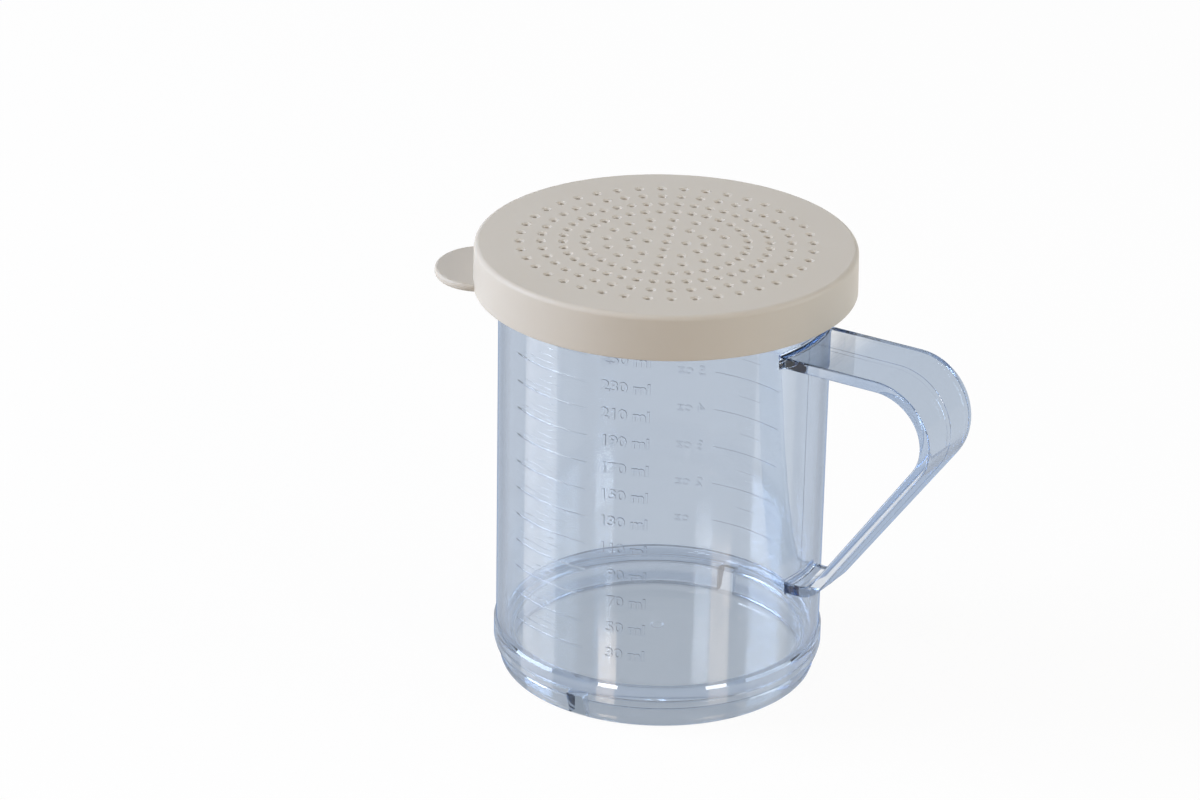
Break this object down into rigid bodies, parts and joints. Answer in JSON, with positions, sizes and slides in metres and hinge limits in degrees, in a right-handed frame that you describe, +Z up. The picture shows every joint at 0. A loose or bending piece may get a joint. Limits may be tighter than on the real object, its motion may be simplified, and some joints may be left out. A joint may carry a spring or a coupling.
{
  "type": "restaurant spice shaker dispenser",
  "caption": "Clear straight-sided shaker jar with a flat strap handle, a foot ring, raised measuring scales and a perforated press-on lid with a thumb tab",
  "frame": {"origin": "under the middle of the whole object's box, on the plane that the foot ring stands on", "axes": "+X towards the handle, +Y across the handle, +Z up the jar's axis"},
  "size_m": [0.1122, 0.0794, 0.0949],
  "materials": {
    "clear_plastic": "clear, smooth, moulded polycarbonate with a faint blue-grey tint",
    "beige_plastic": "warm beige polypropylene with a soft sheen"
  },
  "bodies": {
    "jar": {"jar_body": "clear_plastic", "handle": "clear_plastic"},
    "lid": {"lid": "beige_plastic"}
  },
  "joints": [
    {"name": "lid_lift", "type": "slide", "parent": "jar", "child": "lid", "axis": [0, 0, 1], "range_m": [0, 0.04]}
  ]
}
